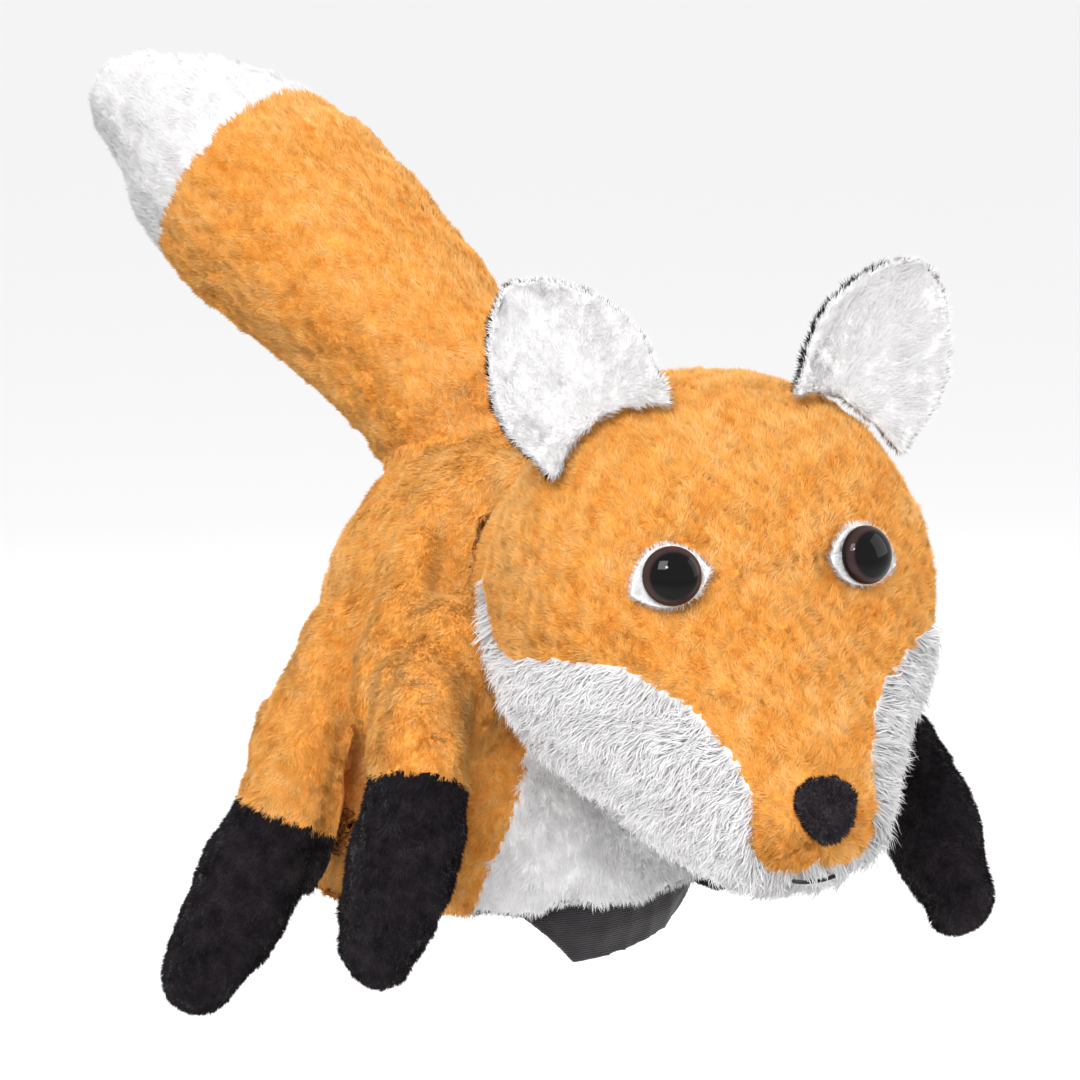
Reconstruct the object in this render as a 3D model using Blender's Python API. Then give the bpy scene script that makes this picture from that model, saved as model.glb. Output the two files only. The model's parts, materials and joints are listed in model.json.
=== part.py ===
"""A plush fox glove puppet, built from its sewn panels, paddings and glove.

The fox faces -Y and +Z is up. Lengths are millimetres until MM turns them
into metres. Each sewn panel is a thin closed solid cut from one smooth
surface, with a seam gap to its neighbours. A piece that moves ends in a ball
around its pivot, and what it moves in is cut back to a larger ball. Places
are given in the puppet's own frame, which stands on an empty whose offset
puts the model's origin in the middle of the hand opening.
"""

from math import cos, pi, radians, sin

import bmesh
import bpy
from mathutils import Euler, Matrix, Vector

MM = 0.001
ROOT = "puppet_frame"

# Cloth thicknesses and clearances
PLUSH = 2.4  # short pile plush of the panels
LINING = 1.4  # knitted lining of the glove and the finger pockets
FELT = 1.0  # patches behind the eyes
EAR_CLOTH = 1.6
SEAM_GAP = 0.8  # between panels sewn edge to edge
LAYER_GAP = 0.5  # between layers that lie on each other
FILL_GAP = 1.6  # between a cloth panel and the stuffing behind it
SWIVEL_GAP = 0.8  # around a ball that turns

SIDES = (("right", -1.0), ("left", 1.0))  # the fox's own sides
HAND_OPENING = (0.0, 35.0, 20.0)  # the middle of the way in for the hand

# Head, in its own frame: forward along -Y, up along +Z
HEAD_CENTRE = (0.0, -40.0, 108.0)
HEAD_TURN = -14.0  # degrees about +Z: the fox looks to its right
HEAD_BOW = 38.0  # degrees downwards
HEAD_SECTIONS = (
    # forward, half width, height of the widest line, top, bottom
    (-45.0, 0.0, 1.0, 1.0, 1.0),
    (-40.0, 22.0, 1.0, 23.0, -21.0),
    (-28.0, 38.5, 0.0, 36.0, -35.0),
    (-10.0, 49.5, -3.0, 41.5, -43.0),
    (8.0, 52.0, -7.0, 40.5, -45.0),
    (22.0, 50.0, -9.5, 34.5, -44.0),
    (34.0, 44.0, -10.5, 26.5, -41.0),
    (46.0, 36.0, -11.0, 19.5, -38.0),
    (58.0, 28.5, -10.5, 14.0, -34.0),
    (68.0, 22.5, -9.0, 10.0, -28.0),
    (75.5, 16.5, -7.0, 6.5, -20.0),
    (79.5, 9.5, -4.5, 1.5, -11.0),
    (81.0, 0.0, -3.0, -3.0, -3.0),
)
CROWN_FULLNESS = 0.07  # how much the upper head swells between its top and sides
BACK_SEAM = -18.0  # forward place of the seam behind the ears
BROW_SEAM = 28.0  # forward place of the seam across the brow, at its middle
BROW_DROP = 10.0  # how much further forward that seam ends at the sides
BROW_ROUNDNESS = 1.3  # how round that seam's peak is
MASK_EDGE = (
    # forward, degrees round from the top: where orange meets the white cheek
    (-60.0, 108.0),
    (-20.0, 106.0),
    (4.0, 100.0),
    (18.0, 84.0),
    (27.0, 68.5),
    (34.0, 54.0),
    (46.0, 41.0),
    (58.0, 35.0),
    (67.0, 36.0),
    (73.0, 48.0),
    (77.0, 74.0),
    (79.8, 122.0),
    (81.0, 180.0),
)
CROWN_ROWS = 9
MUZZLE_ROWS = 13
CHEEK_STOP = 2  # rows of the muzzle panel in front of the white pieces
CHIN_HALF_ANGLE = 20.0  # degrees either side of the underside's middle

# Neck: the finger joint that the head turns on
NECK_PIVOT = (0.0, -6.0, 97.0)
NECK_BALL = 31.5  # outer radius of the neck gusset
NECK_CLOTH = 2.4
NECK_OPENING = 24.0  # radius of the ways through the gusset
HEAD_SWEEP = (62.0, 50.0)  # radii of the room that the turning head needs, across and along the neck
POCKET_RADIUS = 13.0
POCKET_DEPTH = 26.0
POCKET_AIM = (0.0, -22.0, -10.0)  # in the head's frame

# Eyes, nose and mouth, in the head's frame
EYE_PLACES = {
    # forward, degrees round from the top
    "right": (24.5, 30.0),
    "left": (24.5, 25.0),
}
EYE_DENT = 3.0  # how far an eye is drawn into the head
EYE_DENT_WIDTH = 15.0
EYE_DENT_CENTRES = ((-24.0, -24.5, 25.5), (20.5, -24.5, 27.0))
EYE_RADIUS = 6.5
EYE_DOME = 4.6
EYE_SHANK_RADIUS = 1.8
EYE_EDGE = 0.7  # height of the eye's straight edge
EYE_BACK = 0.94  # share of the radius that the flat back has
EYE_SHANK_LENGTH = 9.0
EYE_CLEAR = 3.0  # how far the cutters of the eyes reach out of the head
EYE_WASHER_RADIUS = 6.0
EYE_WASHER_THICKNESS = 1.2
EYE_SEAT_GAP = 1.4  # the patch curves up around the flat back of the eye
EYE_WASHER_GAP = 1.3  # the cloth curves, and the washer is flat
EYE_PATCH_HALF = (9.4, 6.9)
NOSE_HALF_WIDTH = 7.0
NOSE_REACH = (68.6, 78.7)  # forward places of its two ends
NOSE_CLOTH = 1.7
STITCH_RADIUS = 0.5
STITCH_ANGLE = 38.0  # degrees round the muzzle either side of its middle
MOUTH_FORWARD = 79.9

# Ears, in the head's frame, for the fox's left
EAR_ROOT = (30.5, 14.0, 36.0)
EAR_TIP = (51.0, 36.5, 58.5)
EAR_ROOT_LINE = (29.2, -11.3, -15.8)
EAR_HALF_WIDTH = 18.5
EAR_SINK = 0.14  # share of its length that an ear is cut back by the head
EAR_LIFT = 2.2  # from the head's outside, so that the ear can flop
EAR_CUP = 4.5  # how deep the ear's front is hollowed
EAR_PROFILE = (
    # share of the length, share of the half width
    (0.0, 0.86),
    (0.22, 1.0),
    (0.45, 0.96),
    (0.65, 0.79),
    (0.82, 0.56),
    (0.94, 0.30),
    (1.0, 0.0),
)

# Body: a bell around the hand
BODY_SECTIONS = (
    # height, front, back, half width
    (0.0, -13.0, 84.0, 45.0),
    (20.0, -19.5, 89.5, 49.0),
    (40.0, -19.0, 91.0, 49.5),
    (58.0, -16.0, 90.0, 48.5),
    (76.0, -12.0, 87.5, 47.0),
    (94.0, -9.0, 83.0, 43.5),
    (108.0, -4.0, 77.0, 37.0),
    (120.0, 3.0, 68.0, 28.0),
    (128.0, 13.0, 56.0, 18.0),
    (132.0, 34.0, 34.0, 0.0),
)
HEM_FRONT = 24.0  # height of the hem at the front
HIND_DENT = (7.0, 45.0, 54.0, 26.0, 26.0)  # depth, y, height, reach along y, reach in height
HEM_DROP = 8.0  # how much lower the hem is at the sides
BELLY_TOP = 72.0
BELLY_EDGE = (
    # height, degrees either side of straight ahead
    (0.0, 54.0),
    (24.0, 50.0),
    (45.0, 38.0),
    (70.0, 30.0),
    (140.0, 26.0),
)
HEM_BAND = 8.0  # height of the binding inside the hem
HEM_FOLD = 1.3
GLOVE_DEPTH = 4.7  # from the body's outside to the glove
GLOVE_BOTTOM = 40.0
CUFF_TOP = 38.0
CUFF_EDGE = (
    # degrees round from the front, height: the cuff hangs lowest in front
    (-180.0, 19.0),
    (-60.0, 19.0),
    (-38.0, 21.0),
    (-17.0, 5.0),
    (17.0, 9.0),
    (32.0, 20.0),
    (60.0, 19.0),
    (180.0, 19.0),
)

# Limbs: routes of their middles from pivot to tip, each with half breadths
LIMB_COLUMNS = 14
FRONT_LEG = {
    "right": (
        (-43.0, 9.0, 78.0), (-54.5, -6.0, 73.0), (-62.0, -14.5, 62.0), (-67.0, -15.0, 44.0), (-70.0, -7.0, 20.0)
    ),
    "left": (
        (43.0, 9.0, 78.0), (56.5, -5.0, 71.0), (63.0, -22.0, 60.0), (66.0, -41.0, 42.0), (66.0, -58.0, 20.0)
    ),
}
FRONT_LEG_BREADTHS = ((14.0, 14.0), (14.0, 12.0), (13.5, 10.5), (14.5, 11.0), (9.5, 7.5))
HIND_LEG_ROUTE = (
    # for the fox's left; the right one mirrors it
    (45.0, 45.0, 74.0), (55.5, 45.0, 60.0), (62.0, 43.5, 41.0), (72.5, 49.0, 18.0), (81.0, 56.0, -2.0)
)
HIND_LEG_BREADTHS = ((12.5, 12.5), (13.0, 9.5), (13.5, 9.5), (14.5, 10.5), (9.5, 7.5))
LEG_HOLE_GAP = 3.2  # more room in the body's cloth, for a leg that swings along it
LEG_FLAT_SIDE = (1.0, 0.25, 0.0)  # the way a leg is thinnest
PAW_SEAM = 0.5  # share of a leg's route where the black paw begins
FINGER_BREADTHS = ((6.8, 6.8), (6.8, 6.8), (6.0, 6.0))
SLEEVE_MOUTH = -0.5  # how far round its ball a sleeve is open to the hand

TAIL_ROUTE = (
    (-1.0, 58.0, 136.0), (-8.0, 80.0, 155.0), (-20.0, 106.0, 177.0), (-31.0, 128.0, 193.0), (-40.5, 143.0, 203.5)
)
TAIL_BREADTHS = ((23.5, 23.5), (30.0, 26.5), (33.0, 29.0), (28.0, 24.5), (15.5, 13.5))
TAIL_HOLE_GAP = 1.0
TAIL_FLAT_SIDE = (0.3, -0.62, 0.72)
TAIL_COLUMNS = 20
TAIL_TIP_SEAM = 0.62  # share of the route where the white tip begins

COLOURS = {
    "orange": ((0.93, 0.42, 0.10), 0.95),
    "white": ((0.86, 0.84, 0.84), 0.95),
    "black": ((0.018, 0.014, 0.017), 0.95),
    "lining": ((0.03, 0.026, 0.03), 0.9),
    "fibre": ((0.80, 0.79, 0.76), 1.0),
    "glass": ((0.012, 0.008, 0.008), 0.08),
    "felt": ((0.88, 0.86, 0.86), 0.95),
    "nylon": ((0.75, 0.75, 0.72), 0.5),
}


def catmull_rom(rows, place):
    """Each column of the rows, read at a place along them on a smooth curve."""
    first = min(max(int(place), 0), len(rows) - 2)
    u = place - first
    last = len(rows) - 1
    ghost_before = [2 * a - b for a, b in zip(rows[0], rows[1])]
    ghost_after = [2 * a - b for a, b in zip(rows[last], rows[last - 1])]
    p0 = rows[first - 1] if first > 0 else ghost_before
    p1 = rows[first]
    p2 = rows[first + 1]
    p3 = rows[first + 2] if first + 2 <= last else ghost_after
    return [
        0.5 * (2 * b + (c - a) * u + (2 * a - 5 * b + 4 * c - d) * u**2 + (3 * b - a - 3 * c + d) * u**3)
        for a, b, c, d in zip(p0, p1, p2, p3)
    ]


def piecewise(rows, place):
    """The second column at a place in the first, along straight runs."""
    for (x0, y0), (x1, y1) in zip(rows, rows[1:]):
        if place <= x1:
            return y0 + (y1 - y0) * max(place - x0, 0.0) / (x1 - x0)
    return rows[-1][1]


class Loft:
    """A closed surface read as place(row, turn), with turn in degrees."""

    def __init__(self, rows):
        self.rows = rows
        self.end = len(rows) - 1

    def normal(self, row, turn):
        step = 0.02
        row = min(max(row, step), self.end - step)
        along = self.place(row + step, turn) - self.place(row - step, turn)
        across = self.place(row, turn + 1.0) - self.place(row, turn - 1.0)
        return self.out * along.cross(across).normalized()

    def inner(self, row, turn, depth):
        """The surface point moved inwards by depth."""
        at = self.place(row, turn)
        if (at - self.place(row, turn + 180.0)).length > 1e-4:
            return at - self.normal(row, turn) * depth
        quarters = [self.normal(row, quarter) for quarter in (0.0, 90.0, 180.0, 270.0)]
        return at - sum(quarters, Vector((0.0, 0.0, 0.0))).normalized() * depth

    def row_at(self, value, column=0):
        """The row where a rising column reaches a value."""
        low, high = 0.0, float(self.end)
        for _ in range(40):
            middle = (low + high) / 2
            if catmull_rom(self.rows, middle)[column] < value:
                low = middle
            else:
                high = middle
        return (low + high) / 2


class HeadLoft(Loft):
    out = 1.0

    def __init__(self, sections):
        # The poles are rounded by rows mirrored through them.
        def mirrored(pole, near):
            return (near[0], -near[1], near[2], 2 * pole[2] - near[3], 2 * pole[2] - near[4])

        first = mirrored(sections[0], sections[1])
        last = mirrored(sections[-1], sections[-2])
        self.ghosts = (first, last)
        super().__init__(sections)

    def place(self, row, turn):
        rows = (self.ghosts[0], *self.rows, self.ghosts[1])
        forward, half, middle, top, bottom = catmull_rom(rows, row + 1.0)
        a = radians(turn)
        above = cos(a) > 0.0
        rise = (top - middle) if above else (middle - bottom)
        swell = 1.0 + CROWN_FULLNESS * sin(2 * a) ** 2 * above
        at = Vector((half * sin(a) * swell, -forward, middle + rise * cos(a) * swell))
        return at - self.dent(at)

    def dent(self, at):
        """How far the eyes draw a point of the head inwards."""
        drawn = Vector((0.0, 0.0, 0.0))
        for centre in EYE_DENT_CENTRES:
            away = (at - Vector(centre)).length / EYE_DENT_WIDTH
            drawn += Vector(centre).normalized() * EYE_DENT * max(0.0, 1.0 - away**2) ** 2
        return drawn


class BodyLoft(Loft):
    out = -1.0

    def place(self, row, turn):
        pole = self.rows[-1]
        near = self.rows[-2]
        centre = (pole[1] + pole[2]) / 2
        ghost = (near[0], 2 * centre - near[1], 2 * centre - near[2], -near[3])
        height, front, back, half = catmull_rom((*self.rows, ghost), row)
        a = radians(turn)
        y = (front + back) / 2 - (back - front) / 2 * cos(a)
        depth, dent_y, dent_z, reach_y, reach_z = HIND_DENT
        away = ((y - dent_y) / reach_y) ** 2 + ((height - dent_z) / reach_z) ** 2
        pressed = depth * max(0.0, 1.0 - away) ** 2
        return Vector(((half - pressed) * sin(a), y, height))


class LimbLoft(Loft):
    """A round-ended tube along a route, its root a ball around the pivot."""

    def __init__(self, route, breadths, flat_side):
        rows = [(*point, *breadth) for point, breadth in zip(route, breadths)]
        self.flat_side = Vector(flat_side)
        self.ball = breadths[0][0]
        super().__init__(rows)
        self.tip_reach = breadths[-1][1] * 0.9

    def middle(self, row):
        return Vector(catmull_rom(self.rows, row)[:3])

    def length(self):
        points = [Vector(row[:3]) for row in self.rows]
        return sum((b - a).length for a, b in zip(points, points[1:]))

    def frame(self, row):
        step = 0.02
        near = min(max(row, step), self.end - step)
        along = (self.middle(near + step) - self.middle(near - step)).normalized()
        depth = (self.flat_side - along * self.flat_side.dot(along)).normalized()
        return along, along.cross(depth), depth

    def place(self, row, turn):
        """Rows below 0 are the root's ball and rows past the end the round tip."""
        a = radians(turn)
        if row < 0.0:
            along, width, depth = self.frame(0.0)
            lean = row * pi / 2
            spoke = width * sin(a) + depth * cos(a)
            return self.middle(0.0) + (spoke * cos(lean) + along * sin(lean)) * self.ball
        if row > self.end:
            along, width, depth = self.frame(self.end)
            lean = (row - self.end) * pi / 2
            half_width, half_depth = self.rows[-1][3:]
            spoke = width * sin(a) * half_width + depth * cos(a) * half_depth
            return self.middle(self.end) + spoke * cos(lean) + along * sin(lean) * self.tip_reach
        along, width, depth = self.frame(row)
        half_width, half_depth = catmull_rom(self.rows, row)[3:]
        return self.middle(row) + width * sin(a) * half_width + depth * cos(a) * half_depth

    def normal(self, row, turn):
        step = 0.02
        row = min(max(row, step - 1.0), self.end + 1.0 - step)
        along = self.place(row + step, turn) - self.place(row - step, turn)
        across = self.place(row, turn + 1.0) - self.place(row, turn - 1.0)
        return across.cross(along).normalized()


def clear_scene():
    for item in list(bpy.data.objects):
        bpy.data.objects.remove(item, do_unlink=True)


def puppet_frame():
    """An empty that moves the middle of the hand opening to the origin."""
    empty = bpy.data.objects.new(ROOT, None)
    bpy.context.scene.collection.objects.link(empty)
    empty.location = -Vector(HAND_OPENING) * MM


def material(name, finish):
    colour, roughness = COLOURS[finish]
    made = bpy.data.materials.new(name)
    made.use_nodes = True
    shader = made.node_tree.nodes["Principled BSDF"]
    shader.inputs["Base Color"].default_value = (*colour, 1.0)
    shader.inputs["Roughness"].default_value = roughness
    shader.inputs["Metallic"].default_value = 0.0
    return made


def finish_object(name, bm, finish, parent=None, pivot=None):
    """An object from a mesh in millimetres, with its origin on the pivot."""
    bmesh.ops.remove_doubles(bm, verts=bm.verts, dist=0.001)
    bmesh.ops.recalc_face_normals(bm, faces=bm.faces)
    origin = Vector(pivot) if pivot else Vector((0.0, 0.0, 0.0))
    bm.transform(Matrix.Translation(-origin))
    bm.transform(Matrix.Scale(MM, 4))
    mesh = bpy.data.meshes.new(name)
    bm.to_mesh(mesh)
    bm.free()
    mesh.shade_smooth()
    mesh.set_sharp_from_angle(angle=radians(40.0))
    made = bpy.data.objects.new(name, mesh)
    bpy.context.scene.collection.objects.link(made)
    made.location = origin * MM
    made.parent = parent or bpy.data.objects[ROOT]
    if finish:
        mesh.materials.append(material(name, finish))
    else:
        made.hide_render = True
        made.display_type = "WIRE"
    return made


def walls(bm, outer, inner):
    """Quads that join two rows of vertices."""
    for k in range(len(outer) - 1):
        bm.faces.new((outer[k], outer[k + 1], inner[k + 1], inner[k]))


def cloth(surface, at, rows, columns, thickness, depth=0.0, wrap=False, ends=(True, True)):
    """A panel of cloth: at(a, b) is its place on the surface, for a and b from 0 to 1.

    depth is how far its outside lies under the surface, wrap closes it round,
    and ends says which of its two ends are open edges and not poles.
    """
    bm = bmesh.new()
    layers = []
    for inset in (depth, depth + thickness):
        grid = []
        for i in range(rows + 1):
            places = [at(i / rows, j / columns) for j in range(columns + (not wrap))]
            line = [bm.verts.new(surface.inner(*place, inset)) for place in places]
            grid.append(line + line[:1] if wrap else line)
        layers.append(grid)
        for i in range(rows):
            walls(bm, grid[i], grid[i + 1])
    outer, inner = layers
    for end, row in zip(ends, (0, rows)):
        if end:
            walls(bm, outer[row], inner[row])
    if not wrap:
        for column in (0, columns):
            walls(bm, [line[column] for line in outer], [line[column] for line in inner])
    return bm


def lump(surface, first, last, rows, columns, depth):
    """A filled solid inside a surface between two rows, with flat ends."""
    bm = bmesh.new()
    grid = []
    for i in range(rows + 1):
        row = first + (last - first) * i / rows
        line = [bm.verts.new(surface.inner(row, 360.0 * j / columns, depth)) for j in range(columns)]
        grid.append(line)
    for i in range(rows):
        walls(bm, grid[i] + grid[i][:1], grid[i + 1] + grid[i + 1][:1])
    for line in (grid[0], grid[-1]):
        bm.faces.new(line)
    return bm


def ball(radius, centre, columns=22):
    bm = bmesh.new()
    bmesh.ops.create_uvsphere(bm, u_segments=columns, v_segments=columns // 2, radius=radius)
    bm.transform(Matrix.Translation(Vector(centre)))
    return bm


def outward(place, way):
    """The matrix that stands a shape made along +Z at a place, along a way."""
    return Matrix.Translation(place) @ way.to_track_quat("Z", "Y").to_matrix().to_4x4()


def rod(radius, start, end, columns=18):
    """A straight round bar between two points."""
    start, end = Vector(start), Vector(end)
    bm = bmesh.new()
    length = (end - start).length
    bmesh.ops.create_cone(bm, segments=columns, cap_ends=True, radius1=radius, radius2=radius, depth=length)
    bm.transform(outward((start + end) / 2, end - start))
    return bm


def revolve(profile, columns=18):
    """A solid turned about Z from (radius, height) points that start and end on the axis."""
    bm = bmesh.new()
    rings = []
    for radius, height in profile:
        angles = [2 * pi * j / columns for j in range(columns)]
        ring = [bm.verts.new((radius * cos(a), radius * sin(a), height)) for a in angles]
        rings.append(ring + ring[:1])
    for low, high in zip(rings, rings[1:]):
        walls(bm, low, high)
    return bm


def cut(target, cutter, operation="DIFFERENCE"):
    modifier = target.modifiers.new(f"{operation.lower()} {cutter.name}", "BOOLEAN")
    modifier.operation = operation
    modifier.object = cutter
    modifier.solver = "EXACT"


def cutter(name, bm, parent=None):
    return finish_object(name, bm, None, parent)


# ---------------------------------------------------------------- head

HEAD = HeadLoft(HEAD_SECTIONS)


def head_frame():
    """An empty in the middle of the head, turned the way the head looks."""
    empty = bpy.data.objects.new("head_frame", None)
    bpy.context.scene.collection.objects.link(empty)
    empty.parent = bpy.data.objects[ROOT]
    empty.location = Vector(HEAD_CENTRE) * MM
    empty.rotation_euler = Euler((radians(HEAD_BOW), 0.0, radians(HEAD_TURN)))
    bpy.context.view_layer.update()
    return empty


def in_head(point):
    """A world point in millimetres, in the head's frame."""
    turn = Euler((radians(HEAD_BOW), 0.0, radians(HEAD_TURN))).to_matrix()
    return turn.inverted() @ (Vector(point) - Vector(HEAD_CENTRE))


def from_head(point):
    turn = Euler((radians(HEAD_BOW), 0.0, radians(HEAD_TURN))).to_matrix()
    return turn @ Vector(point) + Vector(HEAD_CENTRE)


def mask_angle(row):
    return piecewise(MASK_EDGE, catmull_rom(HEAD.rows, min(row, HEAD.end))[0])


def seam_degrees(row, gap):
    """The turn that a gap takes up on the head at a row."""
    half = max(catmull_rom(HEAD.rows, min(row, HEAD.end - 0.4))[1], 6.0)
    return gap / half * 180.0 / pi


def brow_row(side, edge=0.0):
    """The brow seam's row, an arch between the eyes; side runs from -1 to 1."""
    arch = 1.0 - (1.0 - abs(side) ** BROW_ROUNDNESS) ** 2
    return HEAD.row_at(BROW_SEAM + BROW_DROP * arch + edge * SEAM_GAP / 2)


def back_row(edge=0.0):
    return HEAD.row_at(BACK_SEAM + edge * SEAM_GAP / 2)


def crown_row(k, side):
    """Row k of the crown panel, from the back seam to the brow seam."""
    start = back_row(1.0)
    end = brow_row(side, -1.0)
    return start + (end - start) * k / CROWN_ROWS


def muzzle_row(k, side):
    """Row k of the muzzle panel, from the brow seam to the tip."""
    start = brow_row(side, 1.0)
    return start + (HEAD.end - start) * sin(k / MUZZLE_ROWS * pi / 2)


def side_rows():
    """The rows that a white piece shares with the orange panels beside it."""
    crown = [crown_row(k, 1.0) for k in range(CROWN_ROWS + 1)]
    return crown + [muzzle_row(k, 1.0) for k in range(MUZZLE_ROWS - CHEEK_STOP + 1)]


def chin_reach(row):
    """Degrees from the underside's middle to the chin seam."""
    return min(CHIN_HALF_ANGLE, (180.0 - mask_angle(row)) * 0.5)


def head_panels(frame, neck_cut, eye_cuts):
    half_gap = SEAM_GAP / 2
    rows = side_rows()
    count = len(rows) - 1

    def crown(a, b):
        side = 2 * b - 1
        row = crown_row(a * CROWN_ROWS, side)
        return row, side * (mask_angle(row) - seam_degrees(row, half_gap))

    def muzzle(a, b):
        side = 2 * b - 1
        row = muzzle_row(a * MUZZLE_ROWS, side)
        return row, side * (mask_angle(row) - seam_degrees(row, half_gap) * (1.0 - a**8))

    def cheek(side):
        def at(a, b):
            row = rows[round(a * count)]
            top = mask_angle(row) + seam_degrees(row, half_gap)
            bottom = 180.0 - chin_reach(row) - seam_degrees(row, half_gap)
            return row, side * (top + (bottom - top) * b)

        return at

    def chin(a, b):
        row = rows[round(a * count)]
        reach = chin_reach(row) - seam_degrees(row, half_gap)
        return row, 180.0 + reach * (2 * b - 1)

    def rear(a, b):
        return back_row(-1.0) * sin(a * pi / 2), 360.0 * b

    made = [
        finish_object("crown_panel", cloth(HEAD, crown, CROWN_ROWS, 14, PLUSH), "orange", frame),
        finish_object("muzzle_panel", cloth(HEAD, muzzle, MUZZLE_ROWS, 12, PLUSH), "orange", frame),
        finish_object("chin_panel", cloth(HEAD, chin, count, 3, PLUSH), "white", frame),
    ]
    bm = cloth(HEAD, rear, 5, 28, PLUSH, wrap=True, ends=(False, True))
    made.append(finish_object("rear_head_panel", bm, "orange", frame))
    for name, side in SIDES:
        made.append(finish_object(f"cheek_{name}", cloth(HEAD, cheek(side), count, 6, PLUSH), "white", frame))
    for panel in made:
        cut(panel, neck_cut)
    for eye_cut in eye_cuts:
        cut(made[0], eye_cut)
    return made


def head_filling(frame, neck_cut, pocket_cut, washer_cuts):
    bm = lump(HEAD, 0.1, HEAD.end - 0.3, 13, 22, PLUSH + FILL_GAP)
    filling = finish_object("head_stuffing", bm, "fibre", frame)
    for one in (neck_cut, pocket_cut, *washer_cuts):
        cut(filling, one)


def finger_pocket(inner_radius, start, end, columns=20):
    """A knitted finger stall: a tube, closed and round at its far end."""
    start, end = Vector(start), Vector(end)
    length = (end - start).length
    outer_radius = inner_radius + LINING
    steps = 5
    profile = [(outer_radius, 0.0)]
    for k in range(steps + 1):
        a = k / steps * pi / 2
        profile.append((outer_radius * cos(a), length - outer_radius + outer_radius * sin(a)))
    for k in range(steps, -1, -1):
        a = k / steps * pi / 2
        profile.append((inner_radius * cos(a), length - outer_radius + inner_radius * sin(a)))
    profile.append((inner_radius, 0.0))
    profile.append(profile[0])
    bm = revolve(profile, columns)
    bm.transform(outward(start, end - start))
    return bm


def head_pocket_line():
    """Start and end of the head's finger pocket, in the head's frame."""
    pivot = in_head(NECK_PIVOT)
    aim = (Vector(POCKET_AIM) - pivot).normalized()
    start = pivot + aim * (NECK_BALL + SWIVEL_GAP)
    return start, start + aim * POCKET_DEPTH


def eye_frame(name, side):
    """The place and the way out of an eye, in the head's frame."""
    forward, turn = EYE_PLACES[name]
    row = HEAD.row_at(forward)
    return HEAD.place(row, side * turn), HEAD.normal(row, side * turn)


def eye_cutters(frame):
    """Round holes for the shanks, and hollows in the stuffing for the washers."""
    shanks, hollows = [], []
    for name, side in SIDES:
        place, way = eye_frame(name, side)
        inside = place - way * (EYE_SHANK_LENGTH + LAYER_GAP)
        outside = place + way * EYE_CLEAR
        bm = rod(EYE_SHANK_RADIUS + LAYER_GAP, inside, outside)
        shanks.append(cutter(f"cut_shank_{name}", bm, frame))
        bm = rod(EYE_WASHER_RADIUS + LAYER_GAP, inside, outside)
        hollows.append(cutter(f"cut_washer_{name}", bm, frame))
    return shanks, hollows


def eyes(frame, shank_cuts):
    for (name, side), shank_cut in zip(SIDES, shank_cuts):
        place, way = eye_frame(name, side)
        matrix = outward(place, way)
        seat = LAYER_GAP + FELT + EYE_SEAT_GAP
        steps = 6
        profile = [(0.0, -EYE_SHANK_LENGTH), (EYE_SHANK_RADIUS, -EYE_SHANK_LENGTH)]
        profile += [(EYE_SHANK_RADIUS, seat), (EYE_RADIUS * EYE_BACK, seat)]
        for k in range(steps + 1):
            a = k / steps * pi / 2
            profile.append((EYE_RADIUS * cos(a), seat + EYE_EDGE + (EYE_DOME - EYE_EDGE) * sin(a)))
        bm = revolve(profile)
        bm.transform(matrix)
        finish_object(f"eye_{name}", bm, "glass", frame)

        top = -(PLUSH + EYE_WASHER_GAP)
        bottom = top - EYE_WASHER_THICKNESS
        bore = EYE_SHANK_RADIUS + LAYER_GAP / 2
        ring = ((bore, bottom), (EYE_WASHER_RADIUS, bottom), (EYE_WASHER_RADIUS, top), (bore, top), (bore, bottom))
        bm = revolve(ring)
        bm.transform(matrix)
        finish_object(f"eye_washer_{name}", bm, "nylon", frame)

        patch = finish_object(f"eye_patch_{name}", eye_patch(name, side), "felt", frame)
        cut(patch, shank_cut)


def eye_patch(name, side):
    """A pointed oval of felt that follows the head around the eye."""
    forward, turn0 = EYE_PLACES[name]
    row0 = HEAD.row_at(forward)
    along = HEAD.place(row0 + 0.02, side * turn0) - HEAD.place(row0 - 0.02, side * turn0)
    across = HEAD.place(row0, side * turn0 + 1.0) - HEAD.place(row0, side * turn0 - 1.0)
    row_scale = 0.04 / along.length
    turn_scale = 2.0 / across.length
    half_long, half_high = EYE_PATCH_HALF

    def at(a, b):
        reach = 2 * a - 1
        u = half_long * reach
        v = half_high * (1 - abs(reach) ** 2.2) ** 0.9 * (2 * b - 1) + 0.9 * reach * reach
        return row0 + v * row_scale, side * (turn0 + u * turn_scale)

    return cloth(HEAD, at, 12, 5, FELT, -(LAYER_GAP + FELT))


def nose(frame):
    """A rounded shield of black cloth over the end of the muzzle."""
    back, front = (HEAD.row_at(forward) for forward in NOSE_REACH)

    def at(a, b):
        row = back + (front - back) * a
        across = NOSE_HALF_WIDTH * (1 - abs(2 * a - 1) ** 4.0 * 0.6) * (1.0 - 0.6 * a ** 1.7)
        half = catmull_rom(HEAD.rows, row)[1]
        return row, (2 * b - 1) * across / half * 180.0 / pi

    bm = cloth(HEAD, at, 8, 6, NOSE_CLOTH, -(LAYER_GAP + NOSE_CLOTH))
    finish_object("nose", bm, "black", frame)


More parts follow.
